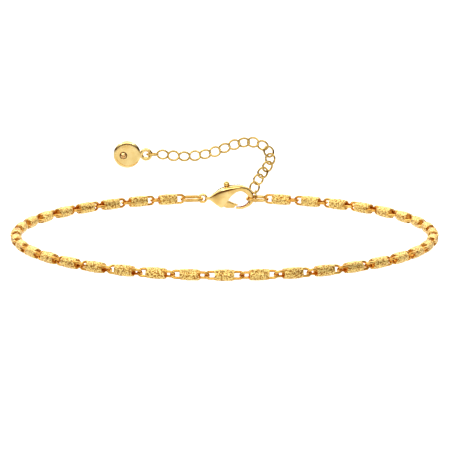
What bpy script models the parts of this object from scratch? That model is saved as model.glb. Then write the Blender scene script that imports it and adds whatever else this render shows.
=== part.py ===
"""Chain anklet: a loop of textured tube links closed by a lobster clasp, with an extension chain
and a round tag. Metres, +Z up. The loop lies in the XY plane about the origin, its clasp at +Y."""

import math

import bmesh
import bpy
from mathutils import Matrix, Vector

MM = 0.001

# Textured links
LINKS_EACH_SIDE = 18
SLEEVE_LENGTH = 3.25 * MM
SLEEVE_RADIUS = 1.0 * MM
SLEEVE_END_RADIUS = 0.88 * MM
SLEEVE_SIDES = 10
MOUTH_RADIUS = 0.4 * MM
MOUTH_DEPTH = 0.45 * MM
LOOP_WIRE = 0.36 * MM
LOOP_WIDTH = 1.8 * MM
LOOP_REACH = 1.68 * MM
LOOP_PLAY = 0.12 * MM
LOOP_ROOT = 0.35 * MM
FRONT_ROLL = math.radians(50)

# Plain end links
PLAIN_LENGTH = 4.2 * MM
PLAIN_WIDTH = 2.15 * MM
PLAIN_WIRE = 0.42 * MM
PLAIN_ROLL = math.radians(12)

# Clasp
CLASP_LENGTH = 8.1 * MM
CLASP_HEIGHT = 4.66 * MM
CLASP_DEPTH = 2.4 * MM
HOOK_DEPTH = 0.62 * MM
EYE_RADIUS = 0.95 * MM
EYE_HOLE = 0.44 * MM
EYE_NECK = 0.35 * MM
CHANNEL_WIDTH = 1.0 * MM
LEVER_THICKNESS = 0.7 * MM
PIN_RADIUS = 0.3 * MM
PIN_PLAY = 0.1 * MM
KNOB_RADIUS = 0.48 * MM

# Extension chain and tag
RING_WIRE = 0.32 * MM
RING_LENGTH = 2.3 * MM
RING_WIDTH = 2.0 * MM
RING_TILT = math.radians(12)
RING_SEGMENTS = 12
RING_SIDES = 5
EXTENSION_BEHIND = 1.25 * MM
JOIN_GAP = 0.14 * MM
JOIN_RISE = 0.25 * MM
TAG_RADIUS = 2.5 * MM
TAG_THICKNESS = 1.1 * MM
TAG_RIM = 0.3 * MM
TAG_EYE_RADIUS = 1.2 * MM
TAG_EYE_HOLE = 0.5 * MM
TAG_EYE_THICKNESS = 0.5 * MM
STONE_RADIUS = 0.58 * MM
STONE_GAP = 0.06 * MM
STONE_SEAT = 0.35 * MM
STONE_ASIDE = -0.68 * MM
STONE_DOWN = -0.15 * MM

# Centres of the extension's rings as (x, z) in millimetres, from the clasp up and over to the tag
EXTENSION_ROUTE = [
    (5.5, 1.85), (6.2, 3.3), (7.0, 4.55), (7.85, 5.7), (8.36, 7.09), (8.08, 8.45), (6.97, 9.62),
    (5.24, 10.19), (3.51, 10.15), (1.79, 9.75), (0.01, 9.12), (-1.75, 8.45), (-3.55, 7.97),
    (-5.43, 7.7), (-7.38, 7.58), (-9.35, 7.68), (-11.32, 7.92), (-13.2, 7.95),
]

# Outlines as shares of the clasp's length and height, from its left end and its middle
HOOK_INNER = 0.887
BODY_TOP = [
    (0.0, 0.075), (0.21, 0.36), (0.47, 0.5), (0.68, 0.535), (0.88, 0.42), (0.985, 0.18),
]
BODY_HOOK = [
    (1.0, -0.07), (0.905, -0.29), (0.715, -0.44), (0.595, -0.43),
    (0.59, -0.34), (0.72, -0.33), (0.845, -0.2), (HOOK_INNER, -0.06), (HOOK_INNER, 0.05),
    (0.825, 0.17), (0.69, 0.275),
]
BODY_BELLY = [
    (0.53, 0.19), (0.42, -0.02), (0.37, -0.19), (0.32, -0.34), (0.265, -0.39),
    (0.125, -0.225), (0.0, -0.075),
]
CHANNEL = [
    (0.48, 0.7), (0.425, 0.26), (0.395, 0.1), (0.555, 0.075), (0.585, -0.25), (0.51, -0.6),
    (0.3, -0.6), (0.265, -0.29), (0.15, -0.16), (0.075, -0.02), (0.055, 0.075), (0.0, 0.7),
]
LEVER = [
    (0.45, 0.45), (0.38, 0.39), (0.325, 0.1), (0.345, -0.02), (0.475, -0.135), (0.635, -0.235),
    (0.635, -0.295), (0.57, -0.3), (0.565, -0.375), (0.36, -0.375), (0.285, -0.26),
    (0.19, -0.14), (0.125, 0.05), (0.13, 0.2), (0.24, 0.36), (0.34, 0.42), (0.35, 0.52),
    (0.41, 0.53), (0.415, 0.44),
]
DEPTH_PROFILE = [
    (-0.28, 0.22), (-0.16, 0.24), (0.0, 0.5), (0.27, 1.0), (0.5, 0.96), (0.72, 0.6), (0.84, 0.0), (1.03, 0.0),
]
PIVOT = (0.26, -0.045)
KNOB = (0.38, 0.575)

GOLD = (0.83, 0.58, 0.2)
PALE_GOLD = (0.92, 0.72, 0.36)
CRYSTAL = (0.9, 0.92, 0.95)

LINK_HALF = SLEEVE_LENGTH / 2 + LOOP_REACH
HALF_PITCH = LINK_HALF - LOOP_WIRE - LOOP_PLAY / 2
PLAIN_CENTRES = PLAIN_LENGTH - PLAIN_WIRE
PLAIN_REACH = LINK_HALF - LOOP_WIRE - LOOP_PLAY - PLAIN_WIRE / 2
EYE_SPAN = EYE_RADIUS + EYE_NECK
HALF_CLASP = (HOOK_INNER * CLASP_LENGTH + EYE_SPAN + EYE_HOLE) / 2
CLASP_LEFT = -HALF_CLASP + EYE_HOLE + EYE_SPAN
PLAIN_INNER_X = HALF_CLASP - LOOP_PLAY - PLAIN_WIRE / 2


def link_angle(radius):
    """Angle between two neighbouring links on a loop of this radius."""
    return 2 * math.atan(HALF_PITCH / radius)


def closing_error(radius):
    """How far the last textured link's loop overshoots the plain link that meets the clasp."""
    last = LINKS_EACH_SIDE * link_angle(radius)
    slope = (math.pi - last) / 2
    loop_x = radius * math.sin(last) + PLAIN_REACH * math.cos(last)
    return loop_x - PLAIN_INNER_X - PLAIN_CENTRES * math.cos(slope)


def solve_radius():
    """The loop's radius follows from the lengths of its links, found by halving an interval."""
    low = 2 * HALF_PITCH * LINKS_EACH_SIDE / math.pi
    high = 2 * low
    for _ in range(60):
        middle = (low + high) / 2
        if closing_error(middle) < 0:
            low = middle
        else:
            high = middle
    return middle


RADIUS = solve_radius()
STEP = link_angle(RADIUS)
LAST = LINKS_EACH_SIDE * STEP
PLAIN_SLOPE = (math.pi - LAST) / 2
PLAIN_OUTER_X = PLAIN_INNER_X + PLAIN_CENTRES * math.cos(PLAIN_SLOPE)
PLAIN_OUTER_Y = -RADIUS * math.cos(LAST) + PLAIN_REACH * math.sin(LAST)
CLASP_Y = PLAIN_OUTER_Y + PLAIN_CENTRES * math.sin(PLAIN_SLOPE)


def clear_scene():
    for obj in list(bpy.data.objects):
        bpy.data.objects.remove(obj, do_unlink=True)


def new_collection(name, hidden=False):
    collection = bpy.data.collections.new(name)
    bpy.context.scene.collection.children.link(collection)
    collection.hide_render = hidden
    return collection


def metal(name, colour, roughness):
    material = bpy.data.materials.new(name)
    material.use_nodes = True
    shader = material.node_tree.nodes["Principled BSDF"]
    shader.inputs["Base Color"].default_value = (*colour, 1)
    shader.inputs["Metallic"].default_value = 1.0
    shader.inputs["Roughness"].default_value = roughness
    return material


def crystal(name):
    material = metal(name, CRYSTAL, 0.05)
    material.node_tree.nodes["Principled BSDF"].inputs["Metallic"].default_value = 0.0
    return material


def add_object(name, data, collection, material=None):
    obj = bpy.data.objects.new(name, data)
    collection.objects.link(obj)
    if material:
        data.materials.append(material)
    return obj


def as_mesh(obj, collection, material=None):
    """The object's evaluated shape as a mesh object, its loose caps welded, its faces outward."""
    graph = bpy.context.evaluated_depsgraph_get()
    mesh = bpy.data.meshes.new_from_object(obj.evaluated_get(graph))
    shape = bmesh.new()
    shape.from_mesh(mesh)
    bmesh.ops.remove_doubles(shape, verts=shape.verts, dist=0.001 * MM)
    bmesh.ops.recalc_face_normals(shape, faces=shape.faces)
    shape.to_mesh(mesh)
    shape.free()
    name = obj.name
    place = obj.matrix_world.copy()
    bpy.data.objects.remove(obj, do_unlink=True)
    mesh.materials.clear()
    made = add_object(name, mesh, collection, material)
    made.matrix_world = place
    return made


def helper(obj):
    obj.hide_render = True
    obj.display_type = "WIRE"
    return obj


def combine(target, other, operation):
    modifier = target.modifiers.new(operation.title(), "BOOLEAN")
    modifier.operation = operation
    modifier.object = other
    modifier.solver = "EXACT"


def wire(name, points, thickness, sides, collection, closed):
    """A round wire along the points. Its section has this many sides."""
    curve = bpy.data.curves.new(name, "CURVE")
    curve.dimensions = "3D"
    spline = curve.splines.new("POLY")
    spline.points.add(len(points) - 1)
    for point, place in zip(spline.points, points):
        point.co = (*place, 1)
    spline.use_cyclic_u = closed
    section = bpy.data.curves.new(name + "_section", "CURVE")
    outline = section.splines.new("POLY")
    outline.points.add(sides - 1)
    for index, point in enumerate(outline.points):
        turn = 2 * math.pi * index / sides
        point.co = (thickness / 2 * math.cos(turn), thickness / 2 * math.sin(turn), 0, 1)
    outline.use_cyclic_u = True
    guide = helper(add_object(name + "_guide", section, collection))
    curve.bevel_mode = "OBJECT"
    curve.bevel_object = guide
    curve.use_fill_caps = not closed
    return add_object(name, curve, collection), guide


def wire_mesh(name, points, thickness, sides, collection, closed, material=None):
    obj, guide = wire(name, points, thickness, sides, collection, closed)
    bpy.context.view_layer.update()
    made = as_mesh(obj, collection, material)
    bpy.data.objects.remove(guide, do_unlink=True)
    return made


def plate(name, outlines, thickness, collection):
    """A flat plate in the XZ plane, centred on Y = 0, from closed outlines of (x, z) points."""
    curve = bpy.data.curves.new(name, "CURVE")
    curve.dimensions = "2D"
    curve.fill_mode = "BOTH"
    curve.extrude = thickness / 2
    for points in outlines:
        spline = curve.splines.new("POLY")
        spline.points.add(len(points) - 1)
        for point, (x, z) in zip(spline.points, points):
            point.co = (x, z, 0, 1)
        spline.use_cyclic_u = True
    obj = add_object(name, curve, collection)
    obj.rotation_euler = (math.radians(90), 0, 0)
    bpy.context.view_layer.update()
    return as_mesh(obj, collection)


def circle(x, z, radius, sides):
    turns = [2 * math.pi * index / sides for index in range(sides)]
    return [(x + radius * math.cos(turn), z + radius * math.sin(turn)) for turn in turns]


def cylinder(name, radius, depth, sides, matrix, collection):
    mesh = bpy.data.meshes.new(name)
    shape = bmesh.new()
    bmesh.ops.create_cone(
        shape, cap_ends=True, segments=sides, radius1=radius, radius2=radius, depth=depth, matrix=matrix
    )
    shape.to_mesh(mesh)
    shape.free()
    return add_object(name, mesh, collection)


def sleeve(name, collection):
    """The barrel along X, with a countersunk mouth at each end."""
    half = SLEEVE_LENGTH / 2
    shoulder = half * 0.4
    floor = half - MOUTH_DEPTH
    profile = [
        (floor, 0), (half, MOUTH_RADIUS), (half, SLEEVE_END_RADIUS), (shoulder, SLEEVE_RADIUS),
        (-shoulder, SLEEVE_RADIUS), (-half, SLEEVE_END_RADIUS), (-half, MOUTH_RADIUS), (-floor, 0),
    ]
    mesh = bpy.data.meshes.new(name)
    shape = bmesh.new()
    corners = [shape.verts.new((along, 0, out)) for along, out in profile]
    for start, end in zip(corners, corners[1:]):
        shape.edges.new((start, end))
    bmesh.ops.spin(
        shape, geom=shape.verts[:] + shape.edges[:], axis=(1, 0, 0), cent=(0, 0, 0),
        steps=SLEEVE_SIDES, angle=2 * math.pi, use_duplicate=False,
    )
    bmesh.ops.remove_doubles(shape, verts=shape.verts, dist=0.001 * MM)
    bmesh.ops.recalc_face_normals(shape, faces=shape.faces)
    shape.to_mesh(mesh)
    shape.free()
    return add_object(name, mesh, collection)


def loop_points(end, across):
    """The U of wire at one end of a link: end is +1 or -1 along X, across is its sideways axis."""
    reach = (LOOP_WIDTH - LOOP_WIRE) / 2
    root = SLEEVE_LENGTH / 2 - LOOP_ROOT
    middle = LINK_HALF - LOOP_WIRE / 2 - reach
    bend = 4
    points = [Vector((end * root, 0, 0)) + across * reach]
    for index in range(bend + 1):
        turn = math.pi * index / bend
        along = end * (middle + reach * math.sin(turn))
        points.append(Vector((along, 0, 0)) + across * reach * math.cos(turn))
    points.append(Vector((end * root, 0, 0)) - across * reach)
    return points


def across_of(normal_roll):
    """Sideways axis of a loop whose normal is turned this far up from the outward side, which is Y."""
    return Vector((0, -math.sin(normal_roll), math.cos(normal_roll)))


def make_link(name, roll, both_same, collection, cutters, material):
    """One textured link along X, Y outward: its Q loop at +X, and at -X the P loop square to it."""
    body = sleeve(name, collection)
    body.data.materials.append(material)
    near_roll = roll if both_same else roll - math.pi / 2
    for end, turn in ((1, roll), (-1, near_roll)):
        points = loop_points(end, across_of(turn))
        loop = wire_mesh(f"{name}_loop{end}", points, LOOP_WIRE, 5, cutters, False)
        combine(body, helper(loop), "UNION")
    return body


def bake(obj, collection, material):
    """Applies the object's modifiers, so that its helpers can go."""
    bpy.context.view_layer.update()
    helpers = [modifier.object for modifier in obj.modifiers if modifier.type == "BOOLEAN"]
    made = as_mesh(obj, collection, material)
    for other in helpers:
        bpy.data.objects.remove(other, do_unlink=True)
    return made


def ring_place(index):
    """Where link number index sits: its X along the chain away from the front, its Y outward."""
    side = 1 if index >= 0 else -1
    angle = index * STEP
    outward = Vector((math.sin(angle), -math.cos(angle), 0))
    along = side * Vector((math.cos(angle), math.sin(angle), 0))
    up = Vector((0, 0, 1))
    turn = Matrix((along, outward, up)).transposed().to_4x4()
    return Matrix.Translation(outward * RADIUS) @ turn


def make_links(collection, cutters, material):
    """All textured links. On the left the frame is mirrored, so the roll is mirrored with it."""
    for index in range(-LINKS_EACH_SIDE, LINKS_EACH_SIDE + 1):
        roll = FRONT_ROLL * (1 - abs(index) / LINKS_EACH_SIDE)
        name = f"link_{index + LINKS_EACH_SIDE + 1:02d}"
        link = make_link(name, roll, index == 0, collection, cutters, material)
        link = bake(link, collection, material)
        place = ring_place(index)
        if index < 0:
            link.data.transform(Matrix.Scale(-1, 4, (0, 0, 1)))
            link.data.flip_normals()
            place = place @ Matrix.Scale(-1, 4, (0, 0, 1))
            link.data.transform(place)
            link.data.flip_normals()
        else:
            link.matrix_world = place


def make_end_link(name, side, collection, material):
    """A plain oblong ring from the last textured link to the clasp."""
    inner = Vector((side * PLAIN_INNER_X, CLASP_Y, 0))
    outer = Vector((side * PLAIN_OUTER_X, PLAIN_OUTER_Y, 0))
    along = (outer - inner).normalized()
    level = Vector((0, 0, 1)).cross(along) * side
    across = level * math.cos(PLAIN_ROLL) + Vector((0, 0, 1)) * math.sin(PLAIN_ROLL)
    reach = (PLAIN_WIDTH - PLAIN_WIRE) / 2
    straight = PLAIN_CENTRES / 2 - reach
    bend = 6
    points = []
    for end in (1, -1):
        for index in range(bend + 1):
            turn = math.pi * index / bend
            x = end * (straight + reach * math.sin(turn))
            y = end * reach * math.cos(turn)
            points.append((inner + outer) / 2 + along * x + across * y)
    return wire_mesh(name, points, PLAIN_WIRE, 6, collection, True, material)


def share_points(shares):
    """Outline shares as (x, z) in metres, in the clasp's place."""
    return [(CLASP_LEFT + x * CLASP_LENGTH, z * CLASP_HEIGHT) for x, z in shares]


def eye_outline():
    """The arc round the eye, from below the neck to above it, going round the left."""
    centre = CLASP_LEFT - EYE_SPAN
    opening = math.radians(24)
    sides = 10
    arc = []
    for index in range(sides + 1):
        turn = -opening - (2 * math.pi - 2 * opening) * index / sides
        arc.append((centre + EYE_RADIUS * math.cos(turn), EYE_RADIUS * math.sin(turn)))
    return arc


def depth_cutter(collection):
    """A block whose plan is the clasp's thickness seen from above, to cut the outline plate with."""
    widest = CLASP_DEPTH / 2
    upper = []
    for share, depth in DEPTH_PROFILE:
        half = max(widest * depth, HOOK_DEPTH / 2)
        upper.append((CLASP_LEFT + share * CLASP_LENGTH, half))
    lower = [(x, -half) for x, half in reversed(upper)]
    block = plate("clasp_plan", [upper + lower], CLASP_HEIGHT * 2, collection)
    block.data.transform(block.matrix_world)
    block.matrix_world = Matrix.Rotation(math.radians(90), 4, "X")
    return helper(block)


def place_shape(obj, offset):
    """Puts the object's present turn into its mesh, and stands it at the offset."""
    obj.data.transform(obj.matrix_world)
    obj.matrix_world = Matrix.Translation(offset)


def make_clasp_body(collection, cutters, material):
    outline = share_points(BODY_TOP + BODY_HOOK + BODY_BELLY) + eye_outline()
    hole = circle(CLASP_LEFT - EYE_SPAN, 0, EYE_HOLE, 12)
    body = plate("clasp_body", [outline, hole], CLASP_DEPTH * 1.5, collection)
    place_shape(body, Vector())
    combine(body, depth_cutter(cutters), "INTERSECT")
    channel = helper(plate("clasp_channel", [share_points(CHANNEL)], CHANNEL_WIDTH, cutters))
    combine(body, channel, "DIFFERENCE")
    pivot_x, pivot_z = share_points([PIVOT])[0]
    turn = Matrix.Translation((pivot_x, 0, pivot_z)) @ Matrix.Rotation(math.radians(90), 4, "X")
    pin = helper(cylinder("clasp_pin", PIN_RADIUS, CHANNEL_WIDTH * 1.5, 10, turn, cutters))
    combine(body, pin, "UNION")
    body = bake(body, collection, material)
    body.location = (0, CLASP_Y, 0)
    return body


def make_lever(collection, cutters, material):
    """The clasp's lever, with its origin on the pin's axis."""
    pivot_x, pivot_z = share_points([PIVOT])[0]
    knob_x, knob_z = share_points([KNOB])[0]
    outline = [(x - pivot_x, z - pivot_z) for x, z in share_points(LEVER)]
    bore = circle(0, 0, PIN_RADIUS + PIN_PLAY, 12)
    lever = plate("clasp_lever", [outline, bore], LEVER_THICKNESS, collection)
    place_shape(lever, Vector())
    knob = bpy.data.meshes.new("knob")
    shape = bmesh.new()
    bmesh.ops.create_uvsphere(shape, u_segments=12, v_segments=8, radius=KNOB_RADIUS)
    shape.to_mesh(knob)
    shape.free()
    ball = helper(add_object("lever_knob", knob, cutters))
    ball.location = (knob_x - pivot_x, 0, knob_z - pivot_z)
    combine(lever, ball, "UNION")
    lever = bake(lever, collection, material)
    lever.location = (pivot_x, CLASP_Y, pivot_z)
    return lever


def joining_ring_place():
    """The first ring's place: upright across the back rail of the right plain link."""
    x = CLASP_LEFT + CLASP_LENGTH + JOIN_GAP + RING_WIRE / 2
    rail = (PLAIN_WIDTH - PLAIN_WIRE) / 2 * math.cos(PLAIN_ROLL)
    y = CLASP_Y - (x - PLAIN_INNER_X) * math.tan(PLAIN_SLOPE) + rail
    frame = Matrix(((0, 0, 1), (1, 0, 0), (0, 1, 0))).transposed().to_4x4()
    return Matrix.Translation((x, y, JOIN_RISE)) @ frame


def extension_places():
    """Each ring's place: X along the chain, Z across it in the clasp's upright plane."""
    centres = [Vector((x * MM, CLASP_Y + EXTENSION_BEHIND, z * MM)) for x, z in EXTENSION_ROUTE]
    centres[0].y = CLASP_Y + EXTENSION_BEHIND * 0.8
    first = joining_ring_place()
    places = [first]
    for index, centre in enumerate(centres):
        before = centres[index - 1] if index else first.translation
        after = centres[min(index + 1, len(centres) - 1)]
        along = (after - before).normalized()
        across = along.cross(Vector((0, 1, 0))).normalized()
        back = across.cross(along)
        frame = Matrix((along, back, across)).transposed().to_4x4()
        tilt = RING_TILT if index % 2 else -RING_TILT
        if index == len(centres) - 1:
            tilt = math.radians(90)
        places.append(Matrix.Translation(centre) @ frame @ Matrix.Rotation(tilt, 4, "X"))
    return places


def make_ring(name, place, collection, material=None):
    half_length = (RING_LENGTH - RING_WIRE) / 2
    half_width = (RING_WIDTH - RING_WIRE) / 2
    points = []
    for index in range(RING_SEGMENTS):
        turn = 2 * math.pi * (index + 0.5) / RING_SEGMENTS
        flat = Vector((half_length * math.cos(turn), 0, half_width * math.sin(turn)))
        points.append(place @ flat)
    return wire_mesh(name, points, RING_WIRE, RING_SIDES, collection, True, material)


def make_extension(collection, cutters, material):
    places = extension_places()
    chain = make_ring("extension_chain", places[0], collection)
    for index, place in enumerate(places[1:]):
        combine(chain, helper(make_ring(f"ring_{index}", place, cutters)), "UNION")
    return bake(chain, collection, material)


def make_tag(collection, cutters, material):
    """The round tag and its eye, which the extension's last ring goes through."""
    last = EXTENSION_ROUTE[-1]
    eye_x = last[0] * MM - (RING_LENGTH - RING_WIRE) / 2 - TAG_EYE_HOLE + RING_WIRE
    eye_z = last[1] * MM
    centre_x = eye_x - TAG_EYE_RADIUS * 0.8 - TAG_RADIUS
    tag_y = CLASP_Y + EXTENSION_BEHIND
    turn = Matrix.Translation((centre_x, 0, eye_z)) @ Matrix.Rotation(math.radians(90), 4, "X")
    disc = cylinder("tag", TAG_RADIUS, TAG_THICKNESS, 32, turn, collection)
    shape = bmesh.new()
    shape.from_mesh(disc.data)
    rims = [edge for edge in shape.edges if abs(edge.verts[0].co.y - edge.verts[1].co.y) < 0.01 * MM]
    bmesh.ops.bevel(shape, geom=rims, offset=TAG_RIM, segments=2, profile=0.5, affect="EDGES")
    shape.to_mesh(disc.data)
    shape.free()
    outer = circle(eye_x, eye_z, TAG_EYE_RADIUS, 14)
    inner = circle(eye_x, eye_z, TAG_EYE_HOLE, 12)
    eye = helper(plate("tag_eye", [outer, inner], TAG_EYE_THICKNESS, cutters))
    combine(disc, eye, "UNION")
    seat_turn = turn @ Matrix.Translation((STONE_ASIDE, STONE_DOWN, TAG_THICKNESS / 2))
    seat = cylinder("tag_seat", STONE_RADIUS + STONE_GAP, STONE_SEAT * 2, 14, seat_turn, cutters)
    combine(disc, helper(seat), "DIFFERENCE")
    tag = bake(disc, collection, material)
    tag.location = (0, tag_y, 0)
    return Vector((centre_x + STONE_ASIDE, tag_y - TAG_THICKNESS / 2, eye_z + STONE_DOWN))


def make_stone(place, collection, material):
    """A round brilliant in the tag's seat, its flat table facing the front."""
    mesh = bpy.data.meshes.new("tag_stone")
    shape = bmesh.new()
    base = STONE_SEAT - STONE_GAP
    crown = STONE_RADIUS * 0.3
    turn = Matrix.Rotation(math.radians(90), 4, "X")
    bmesh.ops.create_cone(
        shape, cap_ends=True, segments=10, radius1=STONE_RADIUS, radius2=STONE_RADIUS * 0.6,
        depth=crown, matrix=turn @ Matrix.Translation((0, 0, crown / 2)),
    )
    girdle = [face for face in shape.faces if face.normal.y > 0.9]
    made = bmesh.ops.extrude_face_region(shape, geom=girdle)["geom"]
    points = [item for item in made if isinstance(item, bmesh.types.BMVert)]
    bmesh.ops.translate(shape, verts=points, vec=(0, base, 0))
    bmesh.ops.scale(shape, verts=points, vec=(0.75, 1, 0.75))
    bmesh.ops.delete(shape, geom=girdle, context="FACES_ONLY")
    bmesh.ops.recalc_face_normals(shape, faces=shape.faces)
    shape.to_mesh(mesh)
    shape.free()
    stone = add_object("tag_stone", mesh, collection, material)
    stone.location = place
    return stone


def shade():
    for obj in bpy.data.objects:
        if obj.type == "MESH":
            obj.data.shade_smooth()
            obj.data.set_sharp_from_angle(angle=math.radians(35))


def main():
    clear_scene()
    parts = new_collection("chain_anklet")
    cutters = new_collection("cutters", hidden=True)
    textured = metal("textured_gold", GOLD, 0.45)
    polished = metal("polished_gold", PALE_GOLD, 0.15)
    make_links(parts, cutters, textured)
    make_end_link("end_link_left", -1, parts, polished)
    make_end_link("end_link_right", 1, parts, polished)
    make_clasp_body(parts, cutters, polished)
    make_lever(parts, cutters, polished)
    make_extension(parts, cutters, polished)
    seat = make_tag(parts, cutters, polished)
    make_stone(seat, parts, crystal("clear_stone"))
    shade()


main()
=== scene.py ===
# %% [markdown]
# # A gold chain anklet
#
# The anklet is a loop of textured tube links that a small lobster clasp closes. A fine extension
# chain with a round tag hangs beside the clasp. The solid model gives every piece its size and
# place, and this file gives the pieces their smooth metal, their frosted grain and their light.

# %% Load the solid model and keep its box
import math

import bmesh
import bpy
import numpy as np
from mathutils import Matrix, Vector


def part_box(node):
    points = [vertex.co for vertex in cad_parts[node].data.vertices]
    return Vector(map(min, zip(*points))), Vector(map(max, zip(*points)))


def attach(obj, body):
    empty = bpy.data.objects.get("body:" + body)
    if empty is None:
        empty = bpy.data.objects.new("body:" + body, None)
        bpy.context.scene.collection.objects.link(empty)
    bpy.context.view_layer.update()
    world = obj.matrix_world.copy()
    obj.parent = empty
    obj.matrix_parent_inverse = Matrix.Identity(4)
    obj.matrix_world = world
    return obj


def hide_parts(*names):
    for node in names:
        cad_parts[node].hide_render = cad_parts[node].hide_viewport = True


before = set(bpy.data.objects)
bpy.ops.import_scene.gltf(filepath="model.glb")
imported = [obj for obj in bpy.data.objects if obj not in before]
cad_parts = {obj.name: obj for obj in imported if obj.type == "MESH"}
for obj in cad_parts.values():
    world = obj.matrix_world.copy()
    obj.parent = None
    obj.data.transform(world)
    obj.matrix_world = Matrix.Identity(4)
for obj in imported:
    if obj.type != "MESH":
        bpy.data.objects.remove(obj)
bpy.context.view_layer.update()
MM = 0.001
print("solid pieces:", len(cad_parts))

# %% [markdown]
# ## Measuring the loop
#
# Each link of the solid model lies on one round loop. Its radius is the front link's distance
# from the middle. Two neighbours meet where their loops hook together, so the step between links
# follows from that radius and a link's length. Reading the radius from the solid model keeps the
# fine surfaces where the solids are.


# %% The loop's radius, its step and the clasp's plane
def middle_of(node):
    """Middle of a solid piece's box: the mean of its lowest and highest corners."""
    low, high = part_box(node)
    return (np.array(low) + np.array(high)) / 2


def corner_of(node, which):
    return np.array(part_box(node)[which])


LINKS_EACH_SIDE = 18
FRONT_LINK = LINKS_EACH_SIDE + 1
SLEEVE_LENGTH = 3.25 * MM
LOOP_REACH = 1.68 * MM
LOOP_WIRE = 0.36 * MM
LOOP_PLAY = 0.12 * MM
LINK_HALF = SLEEVE_LENGTH / 2 + LOOP_REACH
HALF_PITCH = LINK_HALF - LOOP_WIRE - LOOP_PLAY / 2
RADIUS = float(-middle_of(f"link_{FRONT_LINK:02d}")[1])
STEP = 2 * math.atan(HALF_PITCH / RADIUS)
CLASP_Y = float(middle_of("clasp_body")[1])
print("loop radius mm", round(RADIUS / MM, 2), "step degrees", round(math.degrees(STEP), 3))

# %% [markdown]
# ## Camera
#
# The photograph looks across the loop from about ten degrees above it, through a long lens, so
# that the far side is only a little smaller than the near side. A camera aimed at a point just
# above the loop's middle, from 0.71 m away, gives the same ellipse.

# %% The camera
CAMERA_AWAY = 0.7125
CAMERA_LIFT = math.radians(10.5)
CAMERA_LENS = 327.0
AIM = np.array((0.08 * MM, 0.0, 1.72 * MM))

camera_data = bpy.data.cameras.new("camera")
camera_data.lens = CAMERA_LENS
camera_data.sensor_width = 36.0
camera_data.clip_start = 0.01
camera = bpy.data.objects.new("camera", camera_data)
bpy.context.scene.collection.objects.link(camera)
camera.location = AIM + CAMERA_AWAY * np.array((0.0, -math.cos(CAMERA_LIFT), math.sin(CAMERA_LIFT)))
camera.rotation_euler = (math.pi / 2 - CAMERA_LIFT, 0.0, 0.0)
bpy.context.scene.camera = camera
bpy.context.scene.view_settings.view_transform = "Standard"

# %% [markdown]
# ## Building surfaces
#
# Every piece is one or more grids of points. A grid is a function of two parameters, worked out
# as whole arrays. The helper below joins neighbouring points with four-sided faces, and can close
# a grid round either direction and put a lid on its open ends.


# %% Grids of points become meshes
def grid_faces(rows, columns, first, wrap_rows, wrap_columns):
    """Quads between point (i, j) and its neighbours, numbered row by row from the first index."""
    i = np.arange(rows if wrap_rows else rows - 1)
    j = np.arange(columns if wrap_columns else columns - 1)
    i, j = np.meshgrid(i, j, indexing="ij")
    below = (i + 1) % rows
    beside = (j + 1) % columns
    corners = (i * columns + j, below * columns + j, below * columns + beside, i * columns + beside)
    return np.stack([corner.ravel() for corner in corners], axis=1) + first


def lid_faces(ring, centre):
    """Triangles from each edge of a ring of point numbers to one centre point."""
    return np.stack([ring, np.roll(ring, -1), np.full_like(ring, centre)], axis=1)


def build(name, grids, materials, body="anklet", sharp=None):
    """One mesh from several grids: (points, closed along rows, closed along columns, finish)."""
    points = []
    faces = []
    finishes = []
    count = 0
    for grid, wrap_rows, wrap_columns, finish in grids:
        rows, columns = grid.shape[:2]
        points.append(grid.reshape(-1, 3))
        faces += grid_faces(rows, columns, count, wrap_rows, wrap_columns).tolist()
        first = count
        count += rows * columns
        if not wrap_rows:
            for row in (0, rows - 1):
                ring = first + row * columns + np.arange(columns)
                lid = lid_faces(ring, count)
                points.append(grid[row].mean(axis=0)[None])
                faces += (lid if row else lid[:, ::-1]).tolist()
                count += 1
        finishes += [finish] * (len(faces) - len(finishes))
    mesh = bpy.data.meshes.new(name)
    mesh.from_pydata(np.concatenate(points).tolist(), [], faces)
    mesh.polygons.foreach_set("material_index", finishes)
    shape = bmesh.new()
    shape.from_mesh(mesh)
    bmesh.ops.remove_doubles(shape, verts=shape.verts, dist=1e-7)
    bmesh.ops.recalc_face_normals(shape, faces=shape.faces)
    shape.to_mesh(mesh)
    shape.free()
    mesh.shade_smooth()
    if sharp:
        mesh.set_sharp_from_angle(angle=math.radians(sharp))
    for material in materials:
        mesh.materials.append(material)
    obj = bpy.data.objects.new(name, mesh)
    bpy.context.scene.collection.objects.link(obj)
    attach(obj, body)
    return obj


# %% [markdown]
# ## Wire along a path
#
# Loops, rings and jump rings are all round wire. The section is a circle, carried along a path:
# at each point the circle stands square to the path's direction, in the two directions given by
# the path's own plane. The thickness is one number, or one for each point of the path.


# %% Round wire
def wire_grid(path, normal, thickness, closed, sides=12):
    """Point = path + r (cos t) side + r (sin t) normal, where side is square to path and normal."""
    path = np.asarray(path, float)
    if closed:
        ahead = np.roll(path, -1, axis=0) - np.roll(path, 1, axis=0)
    else:
        ahead = np.gradient(path, axis=0)
    ahead /= np.linalg.norm(ahead, axis=1)[:, None]
    up = np.broadcast_to(np.asarray(normal, float), path.shape)
    side = np.cross(up, ahead)
    side /= np.linalg.norm(side, axis=1)[:, None]
    t = np.linspace(0, 2 * math.pi, sides, endpoint=False)
    r = np.broadcast_to(thickness, len(path))[:, None, None] / 2
    circle = np.cos(t)[None, :, None] * side[:, None] + np.sin(t)[None, :, None] * up[:, None]
    return path[:, None] + r * circle


# %% [markdown]
# ## Shader expressions
#
# A material is easier to read as arithmetic than as a web of nodes. This small class wraps one
# socket, so that subtracting or multiplying two values writes the Math node for us.


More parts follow.
